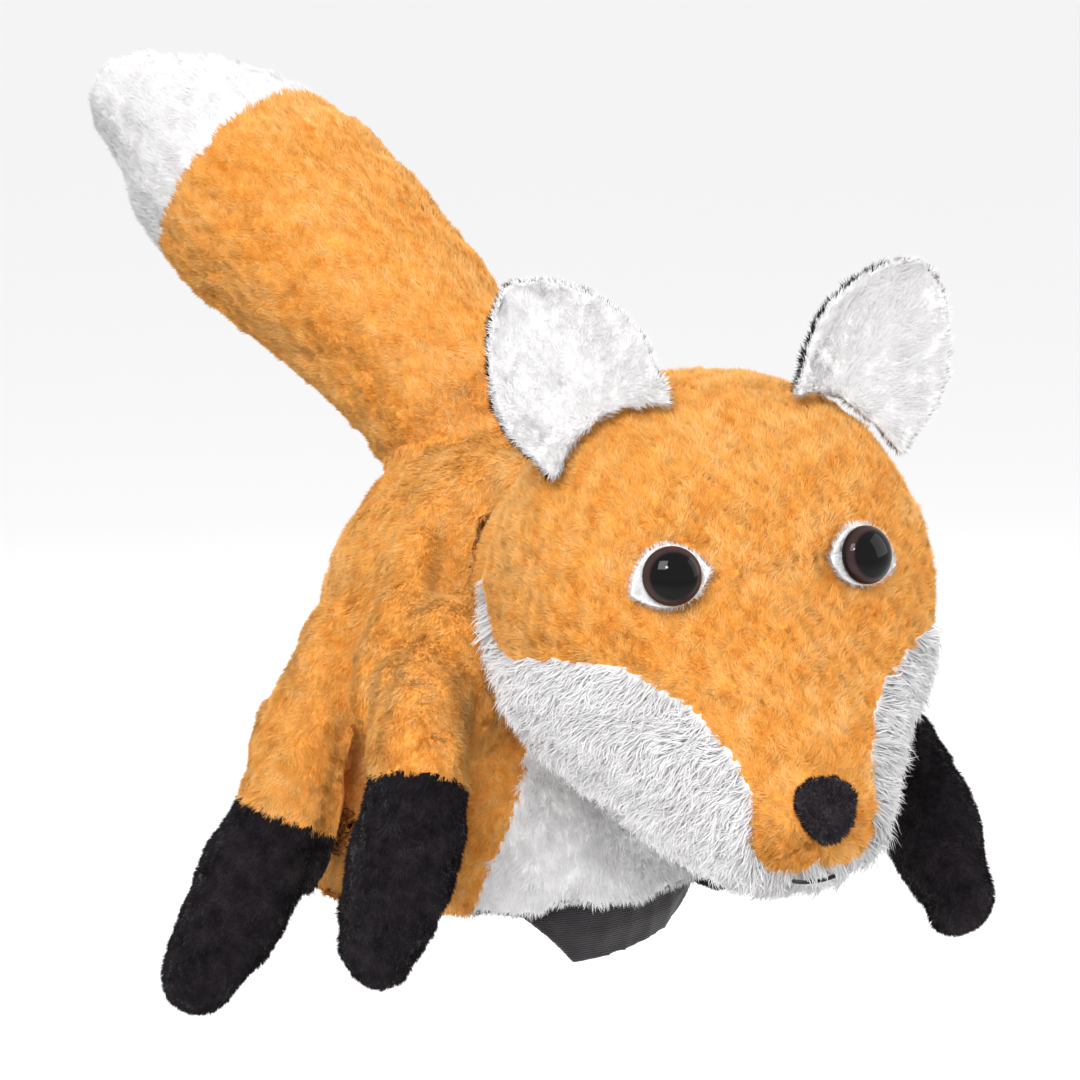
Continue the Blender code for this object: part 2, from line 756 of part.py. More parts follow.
def mouth(frame):
    """A short curved line of thread across the end of the muzzle panel."""
    row = HEAD.row_at(MOUTH_FORWARD)
    curve = bpy.data.curves.new("mouth_stitch", "CURVE")
    curve.dimensions = "3D"
    curve.bevel_depth = STITCH_RADIUS * MM
    curve.bevel_resolution = 1
    curve.use_fill_caps = True
    spline = curve.splines.new("POLY")
    count = 9
    spline.points.add(count - 1)
    for k in range(count):
        share = 2 * k / (count - 1) - 1
        turn = 180.0 + share * STITCH_ANGLE
        point = HEAD.inner(row, turn, -(STITCH_RADIUS + LAYER_GAP))
        spline.points[k].co = (*(point * MM), 1.0)
    made = bpy.data.objects.new("mouth_stitch", curve)
    bpy.context.scene.collection.objects.link(made)
    made.parent = frame
    curve.materials.append(material("mouth_stitch", "black"))


class EarLoft(Loft):
    """A cupped leaf read as place(share of length, share of half width)."""

    out = 1.0

    def __init__(self, side):
        mirror = Vector((side, 1.0, 1.0))
        self.root = Vector(EAR_ROOT) * mirror
        self.tip = Vector(EAR_TIP) * mirror
        self.across = (Vector(EAR_ROOT_LINE) * mirror).normalized()
        self.up = self.tip - self.root
        self.front = self.across.cross(self.up).normalized() * -side
        if self.front.y > 0:
            self.front = -self.front
        self.end = 1.0

    def place(self, row, turn):
        half = EAR_HALF_WIDTH * catmull_rom(EAR_PROFILE, self.step(row))[1]
        cup = EAR_CUP * (turn * turn) * (1 - 0.35 * row) - EAR_CUP * 0.5
        return self.root + self.up * row + self.across * half * turn + self.front * cup

    def step(self, share):
        for k, ((x0, _), (x1, _)) in enumerate(zip(EAR_PROFILE, EAR_PROFILE[1:])):
            if share <= x1:
                return k + (share - x0) / (x1 - x0)
        return len(EAR_PROFILE) - 1.0

    def normal(self, row, turn):
        return self.front


def ears(frame, body_cut):
    for name, side in SIDES:
        leaf = EarLoft(side)

        def at(a, b):
            return (1.0 + EAR_SINK) * sin(a * pi / 2) * 0.99 - EAR_SINK, 2 * b - 1

        front = cloth(leaf, at, 8, 6, EAR_CLOTH, -(EAR_CLOTH + LAYER_GAP / 2))
        back = cloth(leaf, at, 8, 6, EAR_CLOTH, LAYER_GAP / 2)
        for label, bm, finish in (("front", front, "white"), ("back", back, "black")):
            made = finish_object(f"ear_{label}_{name}", bm, finish, frame, leaf.root)
            cut(made, body_cut)


def neck_parts():
    """A ball-shaped gusset with one way in for the hand and one for the head."""
    pivot = Vector(NECK_PIVOT)
    bm = ball(NECK_BALL, pivot)
    gusset = finish_object("neck_gusset", bm, "orange", None, NECK_PIVOT)
    cut(gusset, cutter("cut_neck_hollow", ball(NECK_BALL - NECK_CLOTH, pivot)))
    through = (from_head(POCKET_AIM) - pivot).normalized() * NECK_BALL * 2
    cut(gusset, cutter("cut_neck_way", rod(NECK_OPENING, pivot - through, pivot + through, 24)))


def head():
    frame = head_frame()
    pivot = in_head(NECK_PIVOT)
    neck_cut = cutter("cut_neck_room", ball(NECK_BALL + SWIVEL_GAP, pivot), frame)
    start, end = head_pocket_line()
    aim = (end - start).normalized()
    pocket_room = rod(POCKET_RADIUS + LINING + LAYER_GAP, start - aim * NECK_BALL, end + aim * LAYER_GAP)
    pocket_cut = cutter("cut_pocket_room", pocket_room, frame)
    shanks, hollows = eye_cutters(frame)
    head_panels(frame, neck_cut, shanks)
    head_filling(frame, neck_cut, pocket_cut, hollows)
    bm = finger_pocket(POCKET_RADIUS, start, end)
    finish_object("head_finger_pocket", bm, "lining", frame)
    eyes(frame, shanks)
    nose(frame)
    mouth(frame)
    ear_room = cutter("cut_ear_room", lump(HEAD, 0.5, HEAD.end - 3.0, 12, 32, -EAR_LIFT), frame)
    ears(frame, ear_room)


# ---------------------------------------------------------------- body

BODY = BodyLoft(BODY_SECTIONS)


def hem_height(turn):
    return HEM_FRONT - HEM_DROP * (1.0 - cos(radians(turn)))


def body_sweep():
    """The room that the turning head takes from the body's front."""
    centre = Vector(HEAD_CENTRE)
    axis = (centre - Vector(NECK_PIVOT)).normalized()
    bm = ball(1.0, (0.0, 0.0, 0.0), 36)
    across, along = HEAD_SWEEP
    bm.transform(Matrix.Diagonal((across, across, along, 1.0)))
    bm.transform(outward(centre, axis))
    return bm


def body_panels(cuts):
    end = float(BODY.end)

    def gap_degrees(row):
        half = max(catmull_rom(BODY.rows, min(row, end - 0.4))[3], 6.0)
        return SEAM_GAP / 2 / half * 180.0 / pi

    def edge(row):
        return piecewise(BELLY_EDGE, catmull_rom(BODY.rows, row)[0])

    def from_hem(a, turn, top):
        start = BODY.row_at(hem_height(turn))
        return start + (top - start) * a

    def belly(a, b):
        side = 2 * b - 1
        top = BODY.row_at(BELLY_TOP)
        row = from_hem(a, side * edge(BODY.row_at(HEM_FRONT)), top)
        return row, side * (edge(row) - gap_degrees(row))

    def flank(side):
        def at(a, b):
            turn = edge(BODY.row_at(HEM_FRONT)) * (1 - b) + 180.0 * b
            row = from_hem(a, turn, end - 0.04)
            gap = gap_degrees(row)
            start = edge(row) + gap
            return row, side * (start + (180.0 - gap - start) * b)

        return at

    def hem(a, b):
        turn = 360.0 * b
        start = BODY.row_at(hem_height(turn))
        return start + (BODY.row_at(hem_height(turn) + HEM_BAND) - start) * a, turn

    made = [finish_object("belly_panel", cloth(BODY, belly, 8, 8, PLUSH), "white")]
    for name, side in SIDES:
        made.append(finish_object(f"flank_panel_{name}", cloth(BODY, flank(side), 14, 14, PLUSH), "orange"))
    bm = cloth(BODY, hem, 2, 36, HEM_FOLD, PLUSH + LAYER_GAP, wrap=True)
    finish_object("hem_binding", bm, "lining")
    for panel in made:
        for one in cuts:
            cut(panel, one)


def glove(cuts):
    """The knitted glove under the plush, and the cuff that the wrist goes through."""
    start = BODY.row_at(GLOVE_BOTTOM)
    end = BODY.end - 0.1

    def lining(a, b):
        return start + (end - start) * a, 360.0 * b

    inner = finish_object("inner_glove", cloth(BODY, lining, 9, 28, LINING, GLOVE_DEPTH, wrap=True), "lining")
    for one in cuts:
        cut(inner, one)

    def cuff(a, b):
        turn = 360.0 * b - 180.0
        low = BODY.row_at(piecewise(CUFF_EDGE, turn))
        return low + (BODY.row_at(CUFF_TOP) - low) * a, turn

    depth = PLUSH + HEM_FOLD + 2 * LAYER_GAP
    finish_object("wrist_cuff", cloth(BODY, cuff, 4, 40, LINING, depth, wrap=True), "black")


# ---------------------------------------------------------------- limbs


def limb_panels(surface, share, names, finishes, pivot, columns, mouth_row=-1.0):
    """The root panel and the end panel of a limb, with a seam between them."""
    seam = surface.end * share
    gap = SEAM_GAP / 2 * surface.end / surface.length()
    tip = surface.end + 1.0

    def root(a, b):
        return mouth_row + (seam - gap - mouth_row) * a, 360.0 * b

    def end(a, b):
        return seam + gap + (tip - seam - gap) * a, 360.0 * b

    bm = cloth(surface, root, 8, columns, PLUSH, wrap=True, ends=(mouth_row > -1.0, True))
    finish_object(names[0], bm, finishes[0], None, pivot)
    bm = cloth(surface, end, 8, columns, PLUSH, wrap=True, ends=(True, False))
    finish_object(names[1], bm, finishes[1], None, pivot)


def front_leg(name, route):
    """A sleeve open to the hand, with a finger pocket and a stuffed paw."""
    surface = LimbLoft(route, FRONT_LEG_BREADTHS, LEG_FLAT_SIDE)
    names = (f"{name}_sleeve", f"{name}_paw")
    limb_panels(surface, PAW_SEAM, names, ("orange", "black"), route[0], LIMB_COLUMNS, SLEEVE_MOUTH)
    finger = LimbLoft(route[:3], FINGER_BREADTHS, LEG_FLAT_SIDE)

    def stall(a, b):
        return (finger.end + 1.0) * a, 360.0 * b

    bm = cloth(finger, stall, 8, 12, LINING, wrap=True, ends=(True, False))
    finish_object(f"{name}_finger_pocket", bm, "lining", None, route[0])
    bm = lump(surface, 1.2, surface.end + 0.8, 9, LIMB_COLUMNS, PLUSH + FILL_GAP)
    stuffing = finish_object(f"{name}_stuffing", bm, "fibre", None, route[0])
    room = lump(finger, 0.0, finger.end + 0.97, 8, 12, -LAYER_GAP)
    cut(stuffing, cutter(f"cut_{name}_finger", room))


def hind_leg(name, route):
    """A stuffed leg sewn shut to the body."""
    surface = LimbLoft(route, HIND_LEG_BREADTHS, LEG_FLAT_SIDE)
    names = (f"{name}_sleeve", f"{name}_paw")
    limb_panels(surface, PAW_SEAM, names, ("orange", "black"), route[0], LIMB_COLUMNS)
    bm = lump(surface, -0.85, surface.end + 0.8, 12, LIMB_COLUMNS, PLUSH + FILL_GAP)
    finish_object(f"{name}_stuffing", bm, "fibre", None, route[0])


def hind_route(side):
    return [(x * side, y, z) for x, y, z in HIND_LEG_ROUTE]


def legs():
    for label, side in SIDES:
        front_leg(f"front_leg_{label}", FRONT_LEG[label])
        hind_leg(f"hind_leg_{label}", hind_route(side))


def tail():
    surface = LimbLoft(TAIL_ROUTE, TAIL_BREADTHS, TAIL_FLAT_SIDE)
    names = ("tail_panel", "tail_tip_panel")
    limb_panels(surface, TAIL_TIP_SEAM, names, ("orange", "white"), TAIL_ROUTE[0], TAIL_COLUMNS)
    bm = lump(surface, -0.85, surface.end + 0.75, 16, TAIL_COLUMNS, PLUSH + FILL_GAP)
    finish_object("tail_stuffing", bm, "fibre", None, TAIL_ROUTE[0])


def body_cuts():
    """Balls of room for what turns in the body's cloth."""
    room = {"neck": (NECK_BALL, NECK_PIVOT), "tail": (TAIL_BREADTHS[0][0] + TAIL_HOLE_GAP, TAIL_ROUTE[0])}
    for label, side in SIDES:
        room[f"front_{label}"] = (FRONT_LEG_BREADTHS[0][0] + LEG_HOLE_GAP, FRONT_LEG[label][0])
        room[f"hind_{label}"] = (HIND_LEG_BREADTHS[0][0] + LEG_HOLE_GAP, hind_route(side)[0])
    made = [cutter(f"cut_body_{name}", ball(radius + SWIVEL_GAP, at)) for name, (radius, at) in room.items()]
    made.append(cutter("cut_body_head", body_sweep()))
    return made


def main():
    clear_scene()
    puppet_frame()
    cuts = body_cuts()
    head()
    neck_parts()
    body_panels(cuts)
    glove(cuts)
    legs()
    tail()


main()
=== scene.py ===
"""The looks of the fox glove puppet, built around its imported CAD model.

Every plush part gets a skin, remeshed from its CAD panels and shaped with
folds, and a coat of real strands that grow from that skin.
"""

import json
from math import cos, pi, radians, sin

import bmesh
import bpy
import numpy as np
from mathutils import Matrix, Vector
from mathutils.bvhtree import BVHTree


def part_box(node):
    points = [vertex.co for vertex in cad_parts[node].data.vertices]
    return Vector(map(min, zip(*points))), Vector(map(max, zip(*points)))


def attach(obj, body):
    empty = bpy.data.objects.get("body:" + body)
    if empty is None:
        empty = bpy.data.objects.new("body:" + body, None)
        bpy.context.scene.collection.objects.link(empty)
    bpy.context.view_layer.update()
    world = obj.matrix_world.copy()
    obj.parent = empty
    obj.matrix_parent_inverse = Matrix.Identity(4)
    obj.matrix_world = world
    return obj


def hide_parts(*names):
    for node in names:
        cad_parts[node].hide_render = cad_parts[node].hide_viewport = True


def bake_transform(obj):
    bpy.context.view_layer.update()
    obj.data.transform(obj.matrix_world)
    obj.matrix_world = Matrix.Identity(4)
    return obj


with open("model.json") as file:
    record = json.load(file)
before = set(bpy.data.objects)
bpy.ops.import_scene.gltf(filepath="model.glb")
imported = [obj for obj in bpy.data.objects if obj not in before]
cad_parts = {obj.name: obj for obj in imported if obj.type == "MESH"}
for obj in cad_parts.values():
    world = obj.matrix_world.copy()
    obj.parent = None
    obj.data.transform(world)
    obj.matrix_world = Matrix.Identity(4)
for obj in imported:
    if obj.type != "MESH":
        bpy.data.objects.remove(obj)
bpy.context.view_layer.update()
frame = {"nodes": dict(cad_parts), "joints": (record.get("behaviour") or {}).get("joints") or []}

MM = 0.001
CM2_PER_M2 = 1e4
PIECE_FACES = 190_000  # the most faces of one piece of pile
NODES = frame["nodes"]
PIVOTS = {joint["child"]: Vector(joint["pos_m"]) for joint in frame["joints"]}
SIDES = ("left", "right")

# The camera, placed to match the photograph's view: degrees and metres
CAMERA_AZIMUTH = -36.0
CAMERA_ELEVATION = 12.0
CAMERA_DISTANCE = 0.8
CAMERA_AIM = Vector((-29.7, -52.2, 94.5)) * MM
FRAME_WIDTH = 0.2462  # metres of the aim's plane across the picture

# Colours, as linear red, green and blue
ORANGE = (0.84, 0.385, 0.085)
ORANGE_LIGHT = (0.92, 0.52, 0.19)
ORANGE_DARK = (0.70, 0.23, 0.024)
WHITE = (0.80, 0.79, 0.795)
WHITE_LIGHT = (0.86, 0.855, 0.86)
WHITE_DARK = (0.75, 0.73, 0.73)
BLACK = (0.014, 0.0105, 0.0135)
BLACK_LIGHT = (0.034, 0.027, 0.032)
BLACK_DARK = (0.004, 0.003, 0.004)


# ---------------------------------------------------------------- helpers


def ripple(points, scale, seed):
    """Smooth noise of about unit size at each point; scale is its wavelength."""
    random = np.random.default_rng(seed)
    total = np.zeros(len(points))
    waves = 9
    for _ in range(waves):
        way = random.normal(size=3)
        way /= np.linalg.norm(way)
        rate = 2 * pi / scale * random.uniform(0.6, 1.5)
        total += np.sin(points @ way * rate + random.uniform(0.0, 2 * pi))
    return total / (waves / 2) ** 0.5


def unit(vectors):
    return vectors / np.maximum(np.linalg.norm(vectors, axis=1), 1e-9)[:, None]


def points_of(mesh):
    co = np.empty(len(mesh.vertices) * 3, np.float32)
    mesh.vertices.foreach_get("co", co)
    return co.reshape(-1, 3).astype(float)


def normals_of(mesh):
    out = np.empty(len(mesh.vertices) * 3, np.float32)
    mesh.vertex_normals.foreach_get("vector", out)
    return out.reshape(-1, 3).astype(float)


def set_points(mesh, co):
    mesh.vertices.foreach_set("co", co.astype(np.float32).ravel())
    mesh.update()


def new_object(name, mesh):
    made = bpy.data.objects.new(name, mesh)
    bpy.context.scene.collection.objects.link(made)
    return made


def mesh_from(name, vertices, faces, corners):
    """A mesh whose faces all have the same number of corners."""
    mesh = bpy.data.meshes.new(name)
    mesh.vertices.add(len(vertices))
    mesh.vertices.foreach_set("co", vertices.astype(np.float32).ravel())
    mesh.loops.add(len(faces) * corners)
    mesh.loops.foreach_set("vertex_index", faces.astype(np.int32).ravel())
    mesh.polygons.add(len(faces))
    mesh.polygons.foreach_set("loop_start", np.arange(len(faces), dtype=np.int32) * corners)
    mesh.update(calc_edges=True)
    mesh.shade_smooth()
    return mesh


def middle_of(node):
    low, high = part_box(node)
    return (low + high) / 2


def tree_of(nodes):
    """A search tree over these nodes' faces, and the node of each face."""
    vertices, faces, owner = [], [], []
    for node in nodes:
        mesh = NODES[node].data
        start = len(vertices)
        vertices += [v.co.copy() for v in mesh.vertices]
        faces += [[start + k for k in p.vertices] for p in mesh.polygons]
        owner += [node] * len(mesh.polygons)
    return BVHTree.FromPolygons(vertices, faces), owner


# ---------------------------------------------------------------- materials


def shader_of(name, roughness, sheen=0.0, specular=0.3):
    made = bpy.data.materials.new(name)
    made.use_nodes = True
    tree = made.node_tree
    shader = tree.nodes["Principled BSDF"]
    shader.inputs["Roughness"].default_value = roughness
    shader.inputs["Specular IOR Level"].default_value = specular
    shader.inputs["Sheen Weight"].default_value = sheen
    shader.inputs["Sheen Roughness"].default_value = 0.45
    return made, tree, shader


def ramp_of(tree, value, stops):
    ramp = tree.nodes.new("ShaderNodeValToRGB")
    elements = ramp.color_ramp.elements
    while len(elements) < len(stops):
        elements.new(0.5)
    for element, (place, colour) in zip(elements, stops):
        element.position = place
        element.color = (*colour, 1.0)
    tree.links.new(value, ramp.inputs["Fac"])
    return ramp.outputs["Color"]


def mixed(tree, way, share, first, second):
    mix = tree.nodes.new("ShaderNodeMix")
    mix.data_type = "RGBA"
    mix.blend_type = way
    mix.inputs["Factor"].default_value = share
    tree.links.new(first, mix.inputs["A"])
    tree.links.new(second, mix.inputs["B"])
    return mix.outputs["Result"]


def noise_of(tree, scale, detail=3.0, stretch=(1.0, 1.0, 1.0)):
    place = tree.nodes.new("ShaderNodeTexCoord")
    mapping = tree.nodes.new("ShaderNodeMapping")
    mapping.inputs["Scale"].default_value = stretch
    noise = tree.nodes.new("ShaderNodeTexNoise")
    noise.inputs["Scale"].default_value = scale
    noise.inputs["Detail"].default_value = detail
    tree.links.new(place.outputs["Object"], mapping.inputs["Vector"])
    tree.links.new(mapping.outputs["Vector"], noise.inputs["Vector"])
    return noise.outputs["Fac"]


def bumped(tree, shader, height, strength, distance):
    bump = tree.nodes.new("ShaderNodeBump")
    bump.inputs["Strength"].default_value = strength
    bump.inputs["Distance"].default_value = distance
    tree.links.new(height, bump.inputs["Height"])
    tree.links.new(bump.outputs["Normal"], shader.inputs["Normal"])


def pile_material(name, dark, middle, light, root=0.74, sheen=0.5):
    """Strands: their tone runs across the UV map and root to tip runs up it, and the colour is painted
    darker towards the root as painted shade deep in the pile.
    """
    made, tree, shader = shader_of(name, 0.8, sheen, 0.12)
    shader.inputs["Sheen Tint"].default_value = (*light, 1.0)
    uv = tree.nodes.new("ShaderNodeUVMap")
    uv.uv_map = "OFBake"
    split = tree.nodes.new("ShaderNodeSeparateXYZ")
    tree.links.new(uv.outputs["UV"], split.inputs["Vector"])
    tone = ramp_of(tree, split.outputs["X"], ((0.05, dark), (0.5, middle), (0.95, light)))
    # painted shade: the strands' colour darkens towards the root, standing in for the pile shading itself
    depth = ramp_of(tree, split.outputs["Y"], ((0.0, (root,) * 3), (0.7, (1.0,) * 3)))
    tree.links.new(mixed(tree, "MULTIPLY", 1.0, tone, depth), shader.inputs["Base Color"])
    return made


def skin_material(name, dark, middle):
    """The cloth that the pile grows from: random tone in the darker half of the pile's range, which is
    painted shade under the pile.
    """
    made, tree, shader = shader_of(name, 0.95, 0.2, 0.15)
    # painted shade: the skin stops at the middle tone, darker than the pile over it; the noise gives
    # random tone
    tone = ramp_of(tree, noise_of(tree, 900.0), ((0.3, dark), (0.7, middle)))
    tree.links.new(tone, shader.inputs["Base Color"])
    bumped(tree, shader, noise_of(tree, 1600.0, 2.0), 0.6, 0.0006)
    return made


def knit_material(name, dark, light, rate=2400.0):
    """Fine knitted cloth, with rows of stitches along the height."""
    made, tree, shader = shader_of(name, 0.9, 0.35, 0.2)
    place = tree.nodes.new("ShaderNodeTexCoord")
    wave = tree.nodes.new("ShaderNodeTexWave")
    wave.bands_direction = "Z"
    wave.inputs["Scale"].default_value = rate / 7
    wave.inputs["Distortion"].default_value = 3.0
    wave.inputs["Detail Scale"].default_value = 3.0
    tree.links.new(place.outputs["Object"], wave.inputs["Vector"])
    cloud = ramp_of(tree, noise_of(tree, 300.0), ((0.3, dark), (0.75, light)))
    tree.links.new(cloud, shader.inputs["Base Color"])
    bumped(tree, shader, wave.outputs["Fac"], 0.35, 0.0003)
    return made


def felt_material(name, dark, light, grain=1800.0):
    made, tree, shader = shader_of(name, 0.95, 0.3, 0.15)
    cloud = ramp_of(tree, noise_of(tree, grain), ((0.3, dark), (0.7, light)))
    tree.links.new(cloud, shader.inputs["Base Color"])
    bumped(tree, shader, noise_of(tree, grain * 1.5, 5.0), 0.8, 0.0004)
    return made


def nylon_material():
    made, tree, shader = shader_of("washer_nylon", 0.45, 0.0, 0.5)
    stops = ((0.3, (0.68, 0.68, 0.65)), (0.7, (0.76, 0.76, 0.73)))
    cloud = ramp_of(tree, noise_of(tree, 400.0), stops)
    tree.links.new(cloud, shader.inputs["Base Color"])
    return made


# the root value of each pile (0.74 when not given) sets how dark the painted shade at the strands' roots
# is
PILE = {
    "orange_plush": pile_material("pile_orange", ORANGE_DARK, ORANGE, ORANGE_LIGHT),
    "white_plush": pile_material("pile_white", WHITE_DARK, WHITE, WHITE_LIGHT, 0.88, 0.3),
    "black_plush": pile_material("pile_black", BLACK_DARK, BLACK, BLACK_LIGHT, 0.8, 0.15),
}
SKIN = {
    "orange_plush": skin_material("skin_orange", ORANGE_DARK, ORANGE),
    "white_plush": skin_material("skin_white", WHITE_DARK, WHITE),
    "black_plush": skin_material("skin_black", BLACK_DARK, BLACK),
}


# ---------------------------------------------------------------- skins


def joined(name, nodes, plugs=()):
    """One object that holds copies of these nodes' meshes and some ellipsoids."""
    bm = bmesh.new()
    for node in nodes:
        bm.from_mesh(NODES[node].data)
    bmesh.ops.remove_doubles(bm, verts=bm.verts, dist=1e-5)
    for centre, radii, way in plugs:
        found = bmesh.ops.create_uvsphere(bm, u_segments=32, v_segments=16, radius=1.0)
        turn = way.to_track_quat("X", "Z")
        for vertex in found["verts"]:
            scaled = Vector(a * b for a, b in zip(vertex.co, radii))
            vertex.co = centre + turn @ scaled
    mesh = bpy.data.meshes.new(name)
    bm.to_mesh(mesh)
    bm.free()
    return new_object(name, mesh)


def remeshed(obj, voxel):
    """The object's outside as one even mesh."""
    modifier = obj.modifiers.new("even", "REMESH")
    modifier.mode = "VOXEL"
    modifier.voxel_size = voxel
    graph = bpy.context.evaluated_depsgraph_get()
    mesh = bpy.data.meshes.new_from_object(obj.evaluated_get(graph))
    obj.modifiers.clear()
    obj.data = mesh
    mesh.shade_smooth()
    return obj


SMOOTH, REGROW = 0.55, -0.57  # shares of the way to the neighbours' middle, taken in turn


def relax(mesh, rounds):
    """Smooths a mesh without shrinking it."""
    co = points_of(mesh)
    edges = np.empty(len(mesh.edges) * 2, np.int32)
    mesh.edges.foreach_get("vertices", edges)
    a, b = edges.reshape(-1, 2).T
    count = np.bincount(np.concatenate([a, b]), minlength=len(co))[:, None]
    for _ in range(rounds):
        for share in (SMOOTH, REGROW):
            total = np.zeros_like(co)
            for axis in range(3):
                total[:, axis] += np.bincount(a, co[b, axis], len(co))
                total[:, axis] += np.bincount(b, co[a, axis], len(co))
            co += share * (total / np.maximum(count, 1) - co)
    set_points(mesh, co)


def along_path(points, path, width):
    """How close each point is to a path, from 0 to 1, fading at its two ends."""
    path = np.array(path) * MM
    best = np.full(len(points), 1e9)
    place = np.zeros(len(points))
    for k, (a, b) in enumerate(zip(path, path[1:])):
        run = b - a
        u = np.clip((points - a) @ run / (run @ run), 0.0, 1.0)
        away = np.linalg.norm(points - (a + u[:, None] * run), axis=1)
        nearer = away < best
        best[nearer] = away[nearer]
        place[nearer] = (k + u[nearer]) / (len(path) - 1)
    fade = np.clip(np.minimum(place, 1.0 - place) * 5.0, 0.0, 1.0)
    return np.exp(-((best / (width * MM)) ** 2)) * (0.15 + 0.85 * fade)


def shaped(mesh, inset, folds=(), waves=(), outside=None):
    """Draws a skin in, presses folds into it and gives it soft waves.

    What isn't outside moves the other way along its normal, so that the two
    faces of a thin cloth move together.
    """
    co = points_of(mesh)
    normals = normals_of(mesh)
    move = np.full(len(co), -inset * MM)
    for path, depth, width in folds:
        move -= along_path(co, path, width) * depth * MM
    for size, scale, seed in waves:
        move += ripple(co, scale * MM, seed) * size * MM
    if outside is not None:
        move *= 2.0 * outside - 1.0
    set_points(mesh, co + normals * move[:, None])


STEEP = 0.4  # cosine of the most slanted hit that counts as facing a wall
CLOTH_CLEARANCE = 3.2  # mm: past the far face of the cloth that a vertex is on
HOLLOW_REACH = 0.16  # metres: across the widest hollow


def mark_outside(mesh, nodes):
    """1 where a vertex is outside, and 0 where it faces a hollow between these nodes."""
    tree, _ = tree_of(nodes)
    clear = CLOTH_CLEARANCE * MM
    out = np.ones(len(mesh.vertices))
    for k, (place, normal) in enumerate(zip(points_of(mesh), normals_of(mesh))):
        hit = tree.ray_cast(Vector(place + normal * clear), Vector(normal), HOLLOW_REACH)
        if hit[0] is not None and abs(hit[1].dot(Vector(normal))) > STEEP:
            out[k] = 0.0
    layer = mesh.attributes.new("outside", "FLOAT", "POINT")
    layer.data.foreach_set("value", out.astype(np.float32))
    return out


class Follow:
    """How pieces move: with one body, or, when a first body is given, left in place and attached to no
    body.
    """

    def __init__(self, body, first=None, start=None, end=None):
        self.body = body
        self.first = first
        self.start = start
        self.end = end

    def take(self, obj):
        if self.first:
            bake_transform(obj)
        else:
            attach(obj, self.body)


def split_by_group(obj, groups, follow_of):
    """One skin for each group of nodes, with the faces nearest to that group."""
    nodes = [node for group in groups.values() for node in group[0]]
    tree, owner = tree_of(nodes)
    group_of = {node: name for name, group in groups.items() for node in group[0]}
    mesh = obj.data
    faces = {name: [] for name in groups}
    for polygon in mesh.polygons:
        nearest = tree.find_nearest(polygon.center)[2]
        faces[group_of[owner[nearest]]].append(polygon.index)
    made = {}
    for name, (members, slot) in groups.items():
        bm = bmesh.new()
        bm.from_mesh(mesh)
        bm.faces.ensure_lookup_table()
        keep = set(faces[name])
        drop = [face for face in bm.faces if face.index not in keep]
        bmesh.ops.delete(bm, geom=drop, context="FACES")
        part = bpy.data.meshes.new(name)
        bm.to_mesh(part)
        bm.free()
        part.shade_smooth()
        part.materials.clear()
        part.materials.append(SKIN[slot])
        piece = new_object(name, part)
        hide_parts(*members)
        follow_of(name).take(piece)
        made[name] = (piece, slot)
    bpy.data.objects.remove(obj)
    return made


# ---------------------------------------------------------------- pile


class Pile:
    """How a coat of strands looks.

    density is in strands per cm2, length and width in millimetres, and lean in
    degrees from the skin's normal. wiggle turns the strands aside, tuft draws
    their tips together and tilt uneven light: all three are shares.
    """

    def __init__(self, density, length, width, lean, wiggle=0.5, segments=1, tuft=0.35, tilt=0.3):
        self.density = density
        self.length = length
        self.width = width
        self.lean = lean
        self.wiggle = wiggle
        self.segments = segments
        self.tuft = tuft
        self.tilt = tilt


PLUSH = Pile(760, 1.8, 0.33, 60.0, wiggle=0.35, tuft=0.25, tilt=0.32)
FACE = Pile(900, 1.9, 0.32, 57.0, wiggle=0.5, tilt=0.55)
LONG = Pile(400, 5.5, 0.28, 62.0, segments=2, wiggle=0.3, tuft=0.35, tilt=0.25)
BELLY = Pile(700, 2.4, 0.33, 64.0, wiggle=0.3, tuft=0.25, tilt=0.2)
TIP = Pile(700, 2.2, 0.33, 62.0, wiggle=0.3, tuft=0.25, tilt=0.2)
PAW = Pile(700, 1.5, 0.34, 50.0, tilt=0.45)
FLEECE = Pile(1100, 1.1, 0.26, 45.0, tilt=0.4)
FELT_NAP = Pile(1100, 1.5, 0.22, 50.0, tilt=0.3)
EAR_FRONT = Pile(1000, 2.0, 0.28, 64.0, wiggle=0.3, tuft=0.2, tilt=0.15)
EAR_BACK = Pile(750, 2.0, 0.28, 66.0)


def scattered(mesh, density, random):
    """Random points on a mesh's outside with their normals; density is per cm2."""
    mesh.calc_loop_triangles()
    count = len(mesh.loop_triangles)
    corners = np.empty(count * 3, np.int32)
    mesh.loop_triangles.foreach_get("vertices", corners)
    corners = corners.reshape(-1, 3)
    co, normals = points_of(mesh), normals_of(mesh)
    a, b, c = (co[corners[:, k]] for k in range(3))
    area = np.linalg.norm(np.cross(b - a, c - a), axis=1) / 2
    if "outside" in mesh.attributes:
        outside = np.empty(len(mesh.vertices), np.float32)
        mesh.attributes["outside"].data.foreach_get("value", outside)
        area = area * outside[corners].max(axis=1)
    share = 1.0
    wanted = int(area.sum() * CM2_PER_M2 * density * share)
    chosen = random.choice(count, wanted, p=area / area.sum())
    u, v = random.random((2, wanted))
    over = u + v > 1.0
    u[over], v[over] = 1.0 - u[over], 1.0 - v[over]
    shares = np.stack([1.0 - u - v, u, v], axis=1)[:, :, None]
    places = (co[corners[chosen]] * shares).sum(axis=1)
    return places, unit((normals[corners[chosen]] * shares).sum(axis=1))


SHORTEST = 0.05  # of a strand's length: below this share there is no strand
ROOT_DEPTH = 0.25  # mm: how far a strand starts below the skin
SPOKES = (0.0, 2 * pi / 3, 4 * pi / 3)  # the corners around a strand
JOINT = 0.55  # where a strand of two segments bends, as a share of its length
JOINT_RISE = 0.12  # how far it bends up there, as a share of its length
JOINT_WIDTH = 0.8  # of its width at the root


